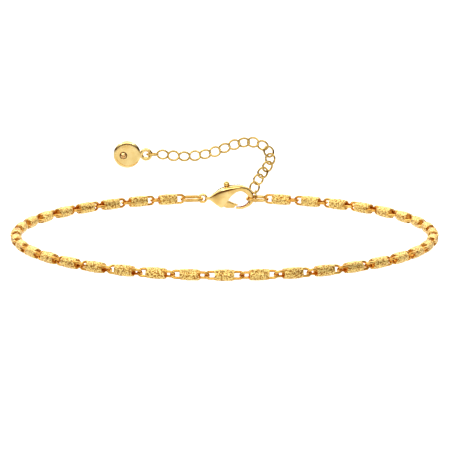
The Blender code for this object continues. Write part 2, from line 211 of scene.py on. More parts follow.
# %% A socket that does arithmetic
class Value:
    """A signal in a material, such as a noise, that can be used in sums like a plain number."""

    def __init__(self, shader, socket):
        self.shader = shader
        self.socket = socket

    def math(self, operation, first, second):
        made = self.shader.node("ShaderNodeMath", {"operation": operation}, {0: first, 1: second})
        return Value(self.shader, made.outputs[0])

    def __sub__(self, other):
        return self.math("SUBTRACT", self, other)

    def __mul__(self, other):
        return self.math("MULTIPLY", self, other)

    def __rsub__(self, other):
        return self.math("SUBTRACT", other, self)

    def between(self, low, high):
        """0 at low, 1 at high, clamped: a smooth step between two values."""
        smooth_step = {"interpolation_type": "SMOOTHSTEP"}
        made = self.shader.node("ShaderNodeMapRange", smooth_step, {0: self, 1: low, 2: high})
        return Value(self.shader, made.outputs[0])

    __rmul__ = __mul__


class Shader:
    """One material's node tree, with a method that makes any node from its settings and inputs."""

    def __init__(self, name):
        self.material = bpy.data.materials.new(name)
        self.material.use_nodes = True
        self.tree = self.material.node_tree
        self.surface = self.tree.nodes["Principled BSDF"]
        where = self.tree.nodes.new("ShaderNodeTexCoord")
        self.place = Value(self, where.outputs["Object"])

    def node(self, kind, settings, inputs):
        made = self.tree.nodes.new(kind)
        for key, value in settings.items():
            setattr(made, key, value)
        for key, value in inputs.items():
            self.set(made.inputs[key], value)
        return made

    def set(self, socket, value):
        if isinstance(value, Value):
            self.tree.links.new(value.socket, socket)
        else:
            socket.default_value = value

    def noise(self, scale, detail=2.0, roughness=0.5):
        inputs = {"Vector": self.place, "Scale": scale, "Detail": detail, "Roughness": roughness}
        made = self.node("ShaderNodeTexNoise", {}, inputs)
        return Value(self, made.outputs[0])

    def cells(self, scale):
        inputs = {"Vector": self.place, "Scale": scale, "Randomness": 1.0}
        made = self.node("ShaderNodeTexVoronoi", {"feature": "F1"}, inputs)
        return Value(self, made.outputs["Distance"])

    def mix(self, factor, first, second):
        made = self.node("ShaderNodeMix", {"data_type": "RGBA"}, {0: factor, 6: first, 7: second})
        return Value(self, made.outputs[2])

    def bump(self, height, distance, strength):
        inputs = {"Height": height, "Distance": distance, "Strength": strength}
        made = self.node("ShaderNodeBump", {}, inputs)
        return Value(self, made.outputs[0])

    def principled(self, **inputs):
        """Sets the finished surface: each input gets a constant or a signal."""
        for key, value in inputs.items():
            self.set(self.surface.inputs[key.replace("_", " ")], value)
        return self.material


# %% [markdown]
# ## Finishes
#
# The sleeves are struck and frosted: a warm yellow gold with painted shade, a deep orange, in the
# pits between the grains, and painted glints, a pale yellow, on the ridges. The clasp, wires and
# tag are plainly polished; the wires, plain links and fine rings are a darker, browner gold as
# painted shade. A polished metal gets its looks from what it reflects, with only a faint waviness
# of its own. In the mouths and the channel the same metal is painted deeper and darker, as painted
# shade in those recesses. Scales are counts per metre, so 4300 cells come to about one every
# quarter of a millimetre.


# %% Frosted gold for the sleeves
def frosted_gold():
    shader = Shader("frosted_gold")
    grain = shader.cells(4300.0)
    fine = shader.noise(7000.0, 2.0, 0.6)
    # Painted shade: the pits between the grains, the low places of the bump, get a deep orange.
    clear_of_pit_shade = (1.0 - grain).between(0.36, 0.55)
    # Painted glints: the high spots of the fine noise, the bump's ridges, get a pale yellow; they
    # are also a little smoother.
    painted_glint_and_polish = fine.between(0.56, 0.66)
    deep = shader.mix(clear_of_pit_shade, (0.4, 0.14, 0.005, 1), (1.0, 0.74, 0.23, 1))
    colour = shader.mix(painted_glint_and_polish * 0.8, deep, (1.0, 0.87, 0.44, 1))
    roughness = 0.45 - painted_glint_and_polish * 0.15
    normal = shader.bump(0.5 * fine - grain, 0.06 * MM, 0.8)
    return shader.principled(Base_Color=colour, Metallic=1.0, Roughness=roughness, Normal=normal)


# %% Polished gold for wires, clasp and tag
def polished_gold(name, pale, deep, roughness):
    shader = Shader(name)
    wave = shader.noise(500.0, 2.0)
    colour = shader.mix(wave.between(0.35, 0.7), deep, pale)
    normal = shader.bump(wave, 0.02 * MM, 0.25)
    return shader.principled(Base_Color=colour, Metallic=1.0, Roughness=roughness, Normal=normal)


# %% Clear stone for the tag
def clear_stone():
    shader = Shader("clear_stone")
    cloud = shader.noise(2500.0).between(0.4, 0.6)
    tint = shader.mix(cloud, (0.8, 0.5, 0.2, 1), (0.4, 0.18, 0.04, 1))
    return shader.principled(Base_Color=tint, Roughness=0.08, Metallic=0.8, Coat_Weight=0.3)


FROSTED = frosted_gold()
# Painted shade: the loops' wire, the fine rings and the plain links get a darker, browner gold than
# the clasp and tag, standing in for the shade on thin wire.
WIRE_GOLD = polished_gold("wire_gold", (0.86, 0.52, 0.13, 1), (0.66, 0.32, 0.05, 1), 0.2)
# Painted shade: a dark brown gold for the channel's walls, and a painted dark reflection on the
# hook's lower inside.
PAINTED_SHADE_GOLD = polished_gold("painted_shade_gold", (0.26, 0.08, 0.015, 1), (0.2, 0.055, 0.01, 1), 0.4)
# Painted shade: a deeper orange gold for the inside of the sleeves' mouths.
MOUTH_SHADE_GOLD = polished_gold("mouth_painted_shade", (0.85, 0.43, 0.08, 1), (0.65, 0.27, 0.03, 1), 0.35)
CLASP_GOLD = polished_gold("clasp_gold", (1.0, 0.75, 0.32, 1), (0.84, 0.55, 0.17, 1), 0.12)
# Painted shade: darker gold for the fine rings and plain links, as on the loops' wire.
FINE_GOLD = polished_gold("fine_gold", (0.72, 0.5, 0.17, 1), (0.56, 0.37, 0.1, 1), 0.18)
PLAIN_GOLD = polished_gold("plain_gold", (0.8, 0.53, 0.18, 1), (0.6, 0.34, 0.08, 1), 0.14)
TAG_GOLD = polished_gold("tag_gold", (0.96, 0.74, 0.32, 1), (0.86, 0.6, 0.21, 1), 0.16)
STONE = clear_stone()
print("finishes:", [material.name for material in bpy.data.materials])

# %% [markdown]
# ## Textured links
#
# A link is a thin tube, a little fatter in the middle, whose surface is struck all over. A loop of
# wire is soldered into each open mouth. The outside is a grid of angle and length with a rough
# relief added to the radius, and it turns in over the rim to the inside, which is painted a deep
# orange as painted shade. The loops are drawn 1.3 times as thick as the solid's wire, because the
# photograph shows them bold.

# %% The link's sizes
SLEEVE_RADIUS = 0.98 * MM
SLEEVE_END_RADIUS = 0.89 * MM
MOUTH_RADIUS = SLEEVE_END_RADIUS - 0.3 * MM
MOUTH_EDGE = SLEEVE_END_RADIUS - 0.25 * MM
MOUTH_DEPTH = 0.6 * MM
RIM_REACH = np.array([0.03, 0.03, 0.01, -0.05]) * MM
RIM_INSET = np.array([0.04, 0.12, 0.22, 0.28]) * MM
WALL_START = 0.12 * MM
RELIEF = 0.05 * MM
LOOP_WIDTH = 1.8 * MM
LOOP_DRAWN = 1.3
FRONT_ROLL = math.radians(50)
AROUND = 84
ALONG = 52


# %% The struck relief
RIPPLES = ((1, 7), (-1, 7), (1, 11), (-1, 12), (2, 9), (-2, 10), (0, 15))


def relief(around, along, seed):
    """Sum of crossed waves with random phases: slanting ripples that break up into small knobs."""
    random = np.random.default_rng(seed)
    total = np.zeros(np.broadcast(around, along).shape)
    for slant, waves in RIPPLES:
        turns = slant * random.uniform(0.8, 1.2) * 5.0
        phase = random.uniform(0, 2 * math.pi, 2)
        bend = 0.8 * np.sin(3 * around + 2.0 * along / MM + phase[1])
        total += np.sin(waves * around + turns * along / MM + phase[0] + bend)
    return total / len(RIPPLES)


# %% The sleeve
def sleeve_grid(seed):
    """Outside, rim, inside wall and floor of the tube, as rings about X. The radius is a barrel."""
    half = SLEEVE_LENGTH / 2
    s = np.linspace(-1, 1, ALONG)
    radius = SLEEVE_END_RADIUS + (SLEEVE_RADIUS - SLEEVE_END_RADIUS) * (1 - np.abs(s) ** 2.4)
    t = np.linspace(0, 2 * math.pi, AROUND, endpoint=False)
    fade = np.clip((1 - np.abs(s)) * 12, 0.25, 1)
    outside = radius[:, None] + RELIEF * fade[:, None] * relief(t[None], s[:, None] * half, seed)
    end_x = np.concatenate([half + RIM_REACH, half - np.array([WALL_START, MOUTH_DEPTH])])
    end_radius = np.concatenate([SLEEVE_END_RADIUS - RIM_INSET, np.full(2, MOUTH_RADIUS)])
    x = np.concatenate([-end_x[::-1], s * half, end_x])
    ends = np.repeat(end_radius[:, None], AROUND, axis=1)
    r = np.concatenate([ends[::-1], outside, ends])
    return np.stack([np.repeat(x[:, None], AROUND, axis=1), r * np.cos(t), r * np.sin(t)], axis=2)


# %% The loops
def link_loop(end, roll):
    """A half circle between two straight legs that run into the tube's mouth."""
    reach = (LOOP_WIDTH - LOOP_WIRE) / 2
    middle = LINK_HALF - LOOP_WIRE / 2 - reach
    across = np.array((0, -math.sin(roll), math.cos(roll)))
    normal = np.array((0, math.cos(roll), math.sin(roll)))
    t = np.linspace(0, math.pi, 17)
    root = SLEEVE_LENGTH / 2 - MOUTH_DEPTH * 1.05
    legs = np.linspace(root, middle, 6)[:-1]
    x = np.concatenate([legs, middle + reach * np.sin(t), legs[::-1]])
    sideways = np.concatenate([np.full(5, reach), reach * np.cos(t), np.full(5, -reach)])
    path = np.stack([end * x, 0 * x, 0 * x], axis=1) + sideways[:, None] * across
    return wire_grid(path, normal, LOOP_WIRE * LOOP_DRAWN, False, 14)


def link_place(index):
    """Axes along, outward and up of a link, and its middle, from its angle round the loop."""
    angle = index * STEP
    side = 1 if index >= 0 else -1
    outward = np.array((math.sin(angle), -math.cos(angle), 0.0))
    along = side * np.array((math.cos(angle), math.sin(angle), 0.0))
    return np.stack([along, outward, (0.0, 0.0, 1.0)]), outward * RADIUS


def paint_mouth_shade(mesh, middle, axes):
    """Faces of the sleeve nearer the link's axis than the mouth's edge get the mouth's painted
    shade.
    """
    count = len(mesh.polygons)
    centres = np.empty(count * 3)
    finish = np.empty(count, dtype=np.int32)
    mesh.polygons.foreach_get("center", centres)
    mesh.polygons.foreach_get("material_index", finish)
    local = (centres.reshape(-1, 3) - middle) @ axes.T
    inside = np.hypot(local[:, 1], local[:, 2]) < MOUTH_EDGE
    mesh.polygons.foreach_set("material_index", np.where((finish == 0) & inside, 2, finish))


def make_link(index):
    """A frosted sleeve with a mouth at each end painted deep orange as shade, and two polished
    loops.
    """
    axes, middle = link_place(index)
    roll = FRONT_ROLL * (1 - abs(index) / LINKS_EACH_SIDE)
    near_roll = roll if index == 0 else roll - math.pi / 2
    number = index + FRONT_LINK
    grids = [(sleeve_grid(number), 0), (link_loop(1, roll), 1), (link_loop(-1, near_roll), 1)]
    placed = [(grid @ axes + middle, False, True, finish) for grid, finish in grids]
    finishes = (FROSTED, WIRE_GOLD, MOUTH_SHADE_GOLD)
    piece = build(f"textured_link_{number:02d}", placed, finishes)
    paint_mouth_shade(piece.data, middle, axes)
    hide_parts(f"link_{number:02d}")
    return piece


links = [make_link(index) for index in range(-LINKS_EACH_SIDE, LINKS_EACH_SIDE + 1)]
print("textured links:", len(links), "faces each:", len(links[0].data.polygons))

# %% [markdown]
# ## Plain end links
#
# Two smooth oblong rings join the textured chain to the clasp. Their straight sides lie nearly
# level, so that one end passes through the last loop and the other through the clasp. The wire
# is drawn thicker along the straight sides, which look bolder than the bends.

# %% The end links
PLAIN_WIDTH = 2.15 * MM
PLAIN_WIRE = 0.42 * MM
PLAIN_ROLL = math.radians(12)
PLAIN_DRAWN = 1.25
PLAIN_SWELL = 0.4


def make_end_link(name, side):
    """Two half circles joined by straight sides, where the wire is thicker than in the bends."""
    low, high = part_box(name)
    last = LINKS_EACH_SIDE * STEP
    slope = (math.pi - last) / 2
    middle = middle_of(name)
    along = np.array((side * math.cos(slope), -math.sin(slope), 0.0))
    level = np.array((side * math.sin(slope), math.cos(slope), 0.0))
    across = level * math.cos(PLAIN_ROLL) + np.array((0, 0, math.sin(PLAIN_ROLL)))
    reach = (PLAIN_WIDTH - PLAIN_WIRE) / 2
    span = (high[0] - low[0] - PLAIN_WIRE - 2 * reach) / (2 * math.cos(slope)) + reach
    straight = span - reach
    t = np.linspace(0, math.pi, 25)
    x = np.concatenate([straight + reach * np.sin(t), -straight - reach * np.sin(t)])
    y = np.concatenate([reach * np.cos(t), -reach * np.cos(t)])
    path = middle + x[:, None] * along + y[:, None] * across
    normal = np.cross(along, across)
    swell = np.clip((straight + 0.3 * MM - np.abs(x)) / (0.5 * MM), 0, 1)
    wire = wire_grid(path, normal, PLAIN_WIRE * (PLAIN_DRAWN + PLAIN_SWELL * swell), True, 24)
    piece = build("plain_" + name, [(wire, True, True, 0)], [PLAIN_GOLD])
    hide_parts(name)
    return piece


end_links = [make_end_link("end_link_left", -1), make_end_link("end_link_right", 1)]
print("end links:", [piece.name for piece in end_links])

# %% [markdown]
# ## Lobster clasp
#
# A lobster clasp is cast in one piece and then polished, so it has no sharp edges. Its body is
# drawn as a ribbon: an outer edge and an inner edge run from the eye, over the top and round the
# hook to its tip, and at each step a rounded section joins the two edges. The lever's channel is
# then sawn through the middle of the body. Its walls are painted a dark brown as painted shade,
# and the lower inside of the hook gets the same dark colour as a painted dark reflection.

# %% The clasp's edges as shares of its length and height
CLASP_LENGTH = 8.1 * MM
CLASP_HEIGHT = 4.66 * MM
CHANNEL_WIDTH = 1.0 * MM
EYE_RADIUS = 0.95 * MM
EYE_HOLE = 0.44 * MM
EYE_NECK = 0.35 * MM
EYE_HALF_DEPTH = 0.27 * MM
CLASP_LEFT = float(corner_of("clasp_body", 0)[0]) + 2 * EYE_RADIUS + EYE_NECK
OUTER_EDGE = [
    (-0.02, 0.05), (0.09, 0.2), (0.21, 0.36), (0.34, 0.46), (0.47, 0.51), (0.6, 0.53), (0.7, 0.53),
    (0.81, 0.48), (0.9, 0.39), (0.965, 0.25), (0.995, 0.08), (0.998, -0.08), (0.96, -0.22),
    (0.88, -0.33), (0.78, -0.41), (0.68, -0.445), (0.59, -0.43),
]
INNER_EDGE = [
    (-0.02, -0.05), (0.07, -0.16), (0.16, -0.28), (0.25, -0.375), (0.315, -0.345), (0.37, -0.2),
    (0.43, -0.02), (0.52, 0.17), (0.62, 0.26), (0.72, 0.27), (0.81, 0.19), (0.87, 0.06),
    (0.88, -0.07), (0.845, -0.18), (0.78, -0.265), (0.69, -0.315), (0.59, -0.325),
]
HALF_DEPTHS = [
    0.3, 0.62, 0.95, 1.14, 1.2, 1.16, 1.05,
    0.85, 0.62, 0.42, 0.33, 0.31, 0.33,
    0.4, 0.42, 0.38, 0.3,
]


# %% Smooth curves through chosen points
def smooth(points, count):
    """Catmull-Rom curve: each stretch is a cubic whose slopes come from its neighbours."""
    points = np.asarray(points, float).reshape(len(points), -1)
    padded = np.concatenate([2 * points[:1] - points[1:2], points, 2 * points[-1:] - points[-2:-1]])
    u = np.linspace(0, len(points) - 1, count)
    k = np.minimum(u.astype(int), len(points) - 2)
    f = (u - k)[:, None]
    a, b, c, d = padded[k], padded[k + 1], padded[k + 2], padded[k + 3]
    return b + 0.5 * f * (c - a + f * (2 * a - 5 * b + 4 * c - d + f * (3 * (b - c) + d - a)))


def in_clasp(points):
    """Shares of the clasp's length and height become metres, in the clasp's upright plane."""
    points = np.asarray(points, float)
    x = CLASP_LEFT + points[..., 0] * CLASP_LENGTH
    z = points[..., 1] * CLASP_HEIGHT
    return np.stack([x, np.full_like(x, CLASP_Y), z], axis=-1)


# %% The ribbon
TIP_START = 0.992
UPPER_SQUARENESS = [
    2.2, 3.8, 4.8, 5.4, 5.4, 4.8, 3.8,
    2.8, 2.3, 2.1, 2.0, 2.0, 2.0,
    2.0, 2.0, 2.0, 2.0,
]
LOWER_SQUARENESS = [
    2.2, 2.5, 2.7, 2.7, 2.6, 2.5, 2.4,
    2.2, 2.1, 2.0, 2.0, 2.0, 2.0,
    2.0, 2.0, 2.0, 2.0,
]


def rounded(wave, squareness):
    """A cosine or sine drawn towards its limits: sign(w) |w|^(2/n), which squares a circle off."""
    return np.sign(wave) * np.abs(wave) ** (2 / squareness)


def ribbon_grid(rows=170, sides=80):
    """Section = middle + half width (cos t)^(2/n) + half depth (sin t)^(2/n): a rounded oblong."""
    outer = in_clasp(smooth(OUTER_EDGE, rows))
    inner = in_clasp(smooth(INNER_EDGE, rows))
    depth = smooth(HALF_DEPTHS, rows) * MM
    t = np.linspace(0, 2 * math.pi, sides, endpoint=False)[None]
    upper = smooth(UPPER_SQUARENESS, rows)
    squareness = np.where(np.cos(t) > 0, upper, smooth(LOWER_SQUARENESS, rows))
    middle = (outer + inner) / 2
    half = (outer - inner) / 2
    tip = np.clip((np.linspace(0, 1, rows) - TIP_START) / (1 - TIP_START), 0, 1)
    close = np.sqrt(np.clip(1 - tip ** 2, 0.02, 1))[:, None]
    wide = close * rounded(np.cos(t), squareness)
    grid = middle[:, None] + half[:, None] * wide[:, :, None]
    grid[:, :, 1] += depth * close * rounded(np.sin(t), squareness)
    return grid


def eye_ring_grid(centre_x, rows=48, sides=20):
    """A ring about Y: radius = middle + half width cos s, depth = half depth sin s."""
    t = np.linspace(0, 2 * math.pi, rows, endpoint=False)
    s = np.linspace(0, 2 * math.pi, sides, endpoint=False)
    middle = (EYE_RADIUS + EYE_HOLE) / 2
    r = middle + (EYE_RADIUS - EYE_HOLE) / 2 * np.cos(s)
    x = centre_x + np.cos(t)[:, None] * r[None]
    z = np.sin(t)[:, None] * r[None]
    y = CLASP_Y + EYE_HALF_DEPTH * np.sin(s)[None] + 0 * x
    return np.stack([x, y, z], axis=2)


def plate_grids(outline, thickness, rounding=0.08 * MM, steps=5):
    """Edge of a plate: outline moved in by r (1 - cos t), at depth half thickness - r + r sin t."""
    ahead = np.roll(outline, -1, axis=0) - np.roll(outline, 1, axis=0)
    ahead /= np.linalg.norm(ahead, axis=1)[:, None]
    inward = np.stack([-ahead[:, 1], ahead[:, 0]], axis=1)
    x, z = outline.T
    area = np.sum(x * np.roll(z, -1) - np.roll(x, -1) * z)
    inward *= np.sign(area)
    turn = np.linspace(0, math.pi / 2, steps)
    inset = rounding * (1 - np.cos(turn))
    level = thickness / 2 - rounding + rounding * np.sin(turn)
    inset = np.concatenate([inset[::-1], inset])
    level = np.concatenate([level[::-1], -level])
    flat = outline[None] + inset[:, None, None] * inward[None]
    y = np.repeat(level[:, None], len(outline), axis=1)
    return np.stack([flat[:, :, 0], y, flat[:, :, 1]], axis=2)


def plate_mesh(name, grid, material, body=None):
    """The plate's edge grid, closed on both sides by flat faces. A cutter rides no body."""
    rows, columns = grid.shape[:2]
    faces = grid_faces(rows, columns, 0, False, True).tolist()
    faces.append(list(range(columns))[::-1])
    faces.append(list(range((rows - 1) * columns, rows * columns)))
    mesh = bpy.data.meshes.new(name)
    mesh.from_pydata(grid.reshape(-1, 3).tolist(), [], faces)
    shape = bmesh.new()
    shape.from_mesh(mesh)
    bmesh.ops.triangulate(shape, faces=[face for face in shape.faces if len(face.verts) > 4])
    bmesh.ops.recalc_face_normals(shape, faces=shape.faces)
    shape.to_mesh(mesh)
    shape.free()
    mesh.shade_smooth()
    mesh.set_sharp_from_angle(angle=math.radians(30))
    mesh.materials.append(material)
    obj = bpy.data.objects.new(name, mesh)
    bpy.context.scene.collection.objects.link(obj)
    if body:
        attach(obj, body)
    return obj


# %% The body, its eye and the sawn channel
HOOK_MIDDLE = (0.72, 0.0)
HOOK_START = (0.5, 0.0)
HOOK_SHADE_BELOW = -0.3 * MM
NECK_OVERLAP = 0.3 * MM
NECK_THIN = 0.27 * MM
NECK_THICK = 0.36 * MM
NECK_DEPTH_SHARE = 0.9
CHANNEL_EDGE = [
    (0.48, 0.7), (0.425, 0.26), (0.395, 0.1), (0.555, 0.075), (0.585, -0.25), (0.51, -0.6),
    (0.3, -0.6), (0.265, -0.29), (0.16, -0.16), (0.11, -0.04), (0.1, 0.06), (0.2, 0.7),
]


def cut_channel(piece):
    """Takes the channel out of the body, puts the result in its mesh, and clears the cutter."""
    edge = in_clasp(CHANNEL_EDGE)[:, [0, 2]]
    grid = plate_grids(edge, CHANNEL_WIDTH, 0.0, 1)
    grid[:, :, 1] += CLASP_Y
    # The cutter's dark painted shade passes to the channel walls that it cuts.
    cutter = plate_mesh("channel_cutter", grid, PAINTED_SHADE_GOLD)
    modifier = piece.modifiers.new("Channel", "BOOLEAN")
    modifier.operation = "DIFFERENCE"
    modifier.material_mode = "TRANSFER"
    modifier.object = cutter
    bpy.context.view_layer.update()
    graph = bpy.context.evaluated_depsgraph_get()
    cut = bpy.data.meshes.new_from_object(piece.evaluated_get(graph))
    piece.modifiers.clear()
    piece.data = cut
    bpy.data.objects.remove(cutter, do_unlink=True)
    cut.shade_smooth()
    cut.set_sharp_from_angle(angle=math.radians(32))


def paint_hook_shade(mesh):
    """Gives the channel's painted shade to the hook's lower inside, as a painted dark reflection.
    """
    count = len(mesh.polygons)
    centres = np.empty(count * 3)
    normals = np.empty(count * 3)
    finish = np.empty(count, dtype=np.int32)
    mesh.polygons.foreach_get("center", centres)
    mesh.polygons.foreach_get("normal", normals)
    mesh.polygons.foreach_get("material_index", finish)
    centres = centres.reshape(-1, 3)
    normals = normals.reshape(-1, 3)
    inward = in_clasp(HOOK_MIDDLE) - centres
    inward[:, 1] = 0
    facing = np.sum(inward * normals, axis=1) / np.linalg.norm(inward, axis=1)
    on_hook = centres[:, 0] > in_clasp(HOOK_START)[0]
    shaded_hook_faces = on_hook & (centres[:, 2] < HOOK_SHADE_BELOW) & (facing > 0.4)
    mesh.polygons.foreach_set("material_index", np.where(shaded_hook_faces, len(mesh.materials) - 1, finish))


def make_clasp_body():
    eye_x = CLASP_LEFT - EYE_NECK - EYE_RADIUS
    body = build("clasp_casting", [(ribbon_grid(), False, True, 0)], [CLASP_GOLD], sharp=40)
    cut_channel(body)
    paint_hook_shade(body.data)
    eye = build("clasp_eye", [(eye_ring_grid(eye_x), True, True, 0)], [CLASP_GOLD])
    neck_x = np.linspace(CLASP_LEFT - EYE_NECK - NECK_OVERLAP, CLASP_LEFT + EYE_NECK, 12)
    neck_r = np.linspace(NECK_THIN, NECK_THICK, 12)
    t = np.linspace(0, 2 * math.pi, 20, endpoint=False)
    x = np.repeat(neck_x[:, None], 20, axis=1)
    y = CLASP_Y + neck_r[:, None] * NECK_DEPTH_SHARE * np.cos(t)
    z = neck_r[:, None] * np.sin(t)
    neck = build("clasp_neck", [(np.stack([x, y, z], axis=2), False, True, 0)], [CLASP_GOLD])
    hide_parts("clasp_body")
    return body, eye, neck


clasp_pieces = make_clasp_body()
print("clasp body faces:", len(clasp_pieces[0].data.polygons))

# %% [markdown]
# ## The clasp's lever
#
# The lever is stamped from plate: an arm under the thumb knob, a hub on the pin, and a gate that
# closes the hook. It is its own piece, attached to its own body apart from the clasp's body.

# %% The lever
LEVER_EDGE = [
    (0.44, 0.46), (0.38, 0.36), (0.33, 0.1), (0.35, -0.02), (0.475, -0.13), (0.58, -0.205),
    (0.632, -0.24), (0.63, -0.29), (0.575, -0.31), (0.555, -0.37), (0.46, -0.38), (0.36, -0.37),
    (0.285, -0.26), (0.19, -0.14), (0.14, 0.0), (0.17, 0.12), (0.25, 0.28), (0.325, 0.4),
    (0.345, 0.52), (0.41, 0.53), (0.42, 0.46),
]
LEVER_THICKNESS = 0.7 * MM
KNOB = (0.38, 0.562)
KNOB_RADIUS = 0.58 * MM


def make_lever():
    edge = smooth(LEVER_EDGE + LEVER_EDGE[:1], 140)[:-1]
    grid = plate_grids(in_clasp(edge)[:, [0, 2]], LEVER_THICKNESS)
    grid[:, :, 1] += CLASP_Y
    plate = plate_mesh("clasp_gate", grid, CLASP_GOLD, "lever")
    v = np.linspace(0, math.pi, 20)[:, None]
    t = np.linspace(0, 2 * math.pi, 32, endpoint=False)[None]
    ball = np.stack([np.sin(v) * np.cos(t), np.sin(v) * np.sin(t), np.cos(v) + 0 * t], axis=2)
    knob_grid = in_clasp(KNOB) + KNOB_RADIUS * ball
    knob = build("thumb_knob", [(knob_grid, False, True, 0)], [CLASP_GOLD], body="lever")
    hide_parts("clasp_lever")
    return plate, knob


lever_pieces = make_lever()
print("lever pieces:", [piece.name for piece in lever_pieces])

# %% [markdown]
# ## Extension chain
#
# The extension is a fine chain of round wire rings. Each ring leans the opposite way to the next,
# which is what lets two rings of the same size link together and still lie almost flat. The last
# ring is turned square to the others, to pass through the tag's eye.

# %% The extension's rings
RING_WIRE = 0.32 * MM
RING_LENGTH = 2.3 * MM
RING_WIDTH = 2.0 * MM
RING_TILT = math.radians(16)
RING_DRAWN = 1.25
EXTENSION_BEHIND = 1.25 * MM
FIRST_RING_BEHIND = EXTENSION_BEHIND * 0.8
JOIN_GAP = 0.14 * MM
JOIN_RISE = 0.25 * MM
EXTENSION_ROUTE = [
    (5.5, 1.85), (6.2, 3.3), (7.0, 4.55), (7.85, 5.7), (8.36, 7.09), (8.08, 8.45), (6.97, 9.62),
    (5.24, 10.19), (3.51, 10.15), (1.79, 9.75), (0.01, 9.12), (-1.75, 8.45), (-3.55, 7.97),
    (-5.43, 7.7), (-7.38, 7.58), (-9.35, 7.68), (-11.32, 7.92), (-13.2, 7.95),
]


def ring_grid(centre, along, across):
    """An oval ring: half length times cosine along the chain, half width times sine across it."""
    t = np.linspace(0, 2 * math.pi, 40, endpoint=False)[:, None]
    half_length = (RING_LENGTH - RING_WIRE) / 2
    half_width = (RING_WIDTH - RING_WIRE) / 2
    path = centre + half_length * np.cos(t) * along + half_width * np.sin(t) * across
    return wire_grid(path, np.cross(along, across), RING_WIRE * RING_DRAWN, True, 14)


def join_place():
    """Middle of the joining ring, which hangs on the right end link just beside the hook."""
    last = LINKS_EACH_SIDE * STEP
    slope = (math.pi - last) / 2
    plain_inner_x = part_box("end_link_right")[0][0] + PLAIN_WIRE / 2
    join_x = CLASP_LEFT + CLASP_LENGTH + JOIN_GAP + RING_WIRE / 2
    rail = (PLAIN_WIDTH - PLAIN_WIRE) / 2 * math.cos(PLAIN_ROLL)
    join_y = CLASP_Y - (join_x - plain_inner_x) * math.tan(slope) + rail
    return np.array((join_x, join_y, JOIN_RISE))


def make_extension():
    """The joining ring, then a ring at each point of the route, with its length along it."""
    join = join_place()
    route = np.array(EXTENSION_ROUTE) * MM
    behind = np.full(len(route), CLASP_Y + EXTENSION_BEHIND)
    centres = np.stack([route[:, 0], behind, route[:, 1]], axis=1)
    centres[0, 1] = CLASP_Y + FIRST_RING_BEHIND
    chain = np.concatenate([join[None], centres])
    ahead = np.concatenate([chain[2:] - chain[:-2], (chain[-1] - chain[-2])[None]])
    ahead /= np.linalg.norm(ahead, axis=1)[:, None]
    upright = ring_grid(join, np.array((0, 0, 1.0)), np.array((0, 1.0, 0)))
    grids = [(upright, True, True, 0)]
    for index, (centre, along) in enumerate(zip(centres, ahead)):
        across = np.cross(along, (0, 1.0, 0))
        across /= np.linalg.norm(across)
        back = np.cross(across, along)
        tilt = RING_TILT if index % 2 else -RING_TILT
        if index == len(centres) - 1:
            tilt = math.pi / 2
        leaning = across * math.cos(tilt) - back * math.sin(tilt)
        grids.append((ring_grid(centre, along, leaning), True, True, 0))
    piece = build("fine_rings", grids, [FINE_GOLD])
    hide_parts("extension_chain")
    return piece


extension = make_extension()
print("extension rings:", len(EXTENSION_ROUTE) + 1)

# %% [markdown]
# ## Tag
#
# The tag is a round pressed disc: a domed face, a rounded rim and a flat back. A profile of
# radius and depth, swept once round the tag's axis, gives it all in one grid. Its eye is a small
# ring soldered to the rim. The stone sits low in the dome, a little to one side of the middle, in
# a seat that is pressed into the same grid.

# %% The disc and its eye
TAG_RADIUS = 2.5 * MM
TAG_EYE_RADIUS = 1.2 * MM
TAG_EYE_HOLE = 0.5 * MM
TAG_THICKNESS = 1.1 * MM
STONE_RADIUS = 0.58 * MM
TAG_Y = CLASP_Y + EXTENSION_BEHIND
TAG_CENTRE = np.array((corner_of("tag", 0)[0] + TAG_RADIUS, TAG_Y, middle_of("tag")[2]))
EYE_CENTRE = TAG_CENTRE + np.array((TAG_RADIUS + TAG_EYE_RADIUS * 0.8, 0, 0))
STONE_PLACE = middle_of("tag_stone")
DOME_TOP = (TAG_CENTRE[0] - 0.5 * MM, TAG_CENTRE[2] + 1.5 * MM)
DOME = 0.022 / MM
RIM_SHARE = 0.07
RIM_DROP = 0.3 * MM
RIM_ROUND = 0.12 * MM
FADE_START = 0.1 * MM
FADE_LENGTH = 0.3 * MM
SEAT_RADIUS = STONE_RADIUS * 1.2
SEAT_SLOPE = STONE_RADIUS * 0.22
SEAT_DEPTH = 0.3 * MM
EYE_WIRE_HALF = 0.25 * MM


def tag_profile():
    """Radius and depth from the middle of the face, round the rim, to the middle of the back."""
    half = TAG_THICKNESS / 2
    dome = np.linspace(0.0, 1 - RIM_SHARE, 60)
    face = RIM_DROP * dome ** 14
    turn = np.linspace(-0.28 * math.pi, 0.5 * math.pi, 14)
    rim = TAG_RADIUS * (1 - RIM_SHARE + RIM_SHARE * np.cos(turn))
    rim_y = face[-1] + RIM_ROUND * (1 + np.sin(turn)) - half
    r = np.concatenate([dome * TAG_RADIUS, rim, [TAG_RADIUS * 0.5, 0.0]])
    y = np.concatenate([face - half, rim_y, [half * 0.9, half * 0.9]])
    return r, y


def press_face(grid):
    """Domes the face with distance squared from a point near its top, and sinks the seat."""
    edge = np.clip((TAG_Y - FADE_START - grid[:, :, 1]) / FADE_LENGTH, 0, 1)
    dome = np.hypot(grid[:, :, 0] - DOME_TOP[0], grid[:, :, 2] - DOME_TOP[1])
    away = np.hypot(grid[:, :, 0] - STONE_PLACE[0], grid[:, :, 2] - STONE_PLACE[2])
    step = np.clip((SEAT_RADIUS - away) / SEAT_SLOPE, 0, 1)
    floor_y = TAG_Y - TAG_THICKNESS / 2 + SEAT_DEPTH
    domed = grid[:, :, 1] + edge * DOME * dome ** 2
    grid[:, :, 1] = domed + edge * (floor_y - domed) * step * step * (3 - 2 * step)
    return grid


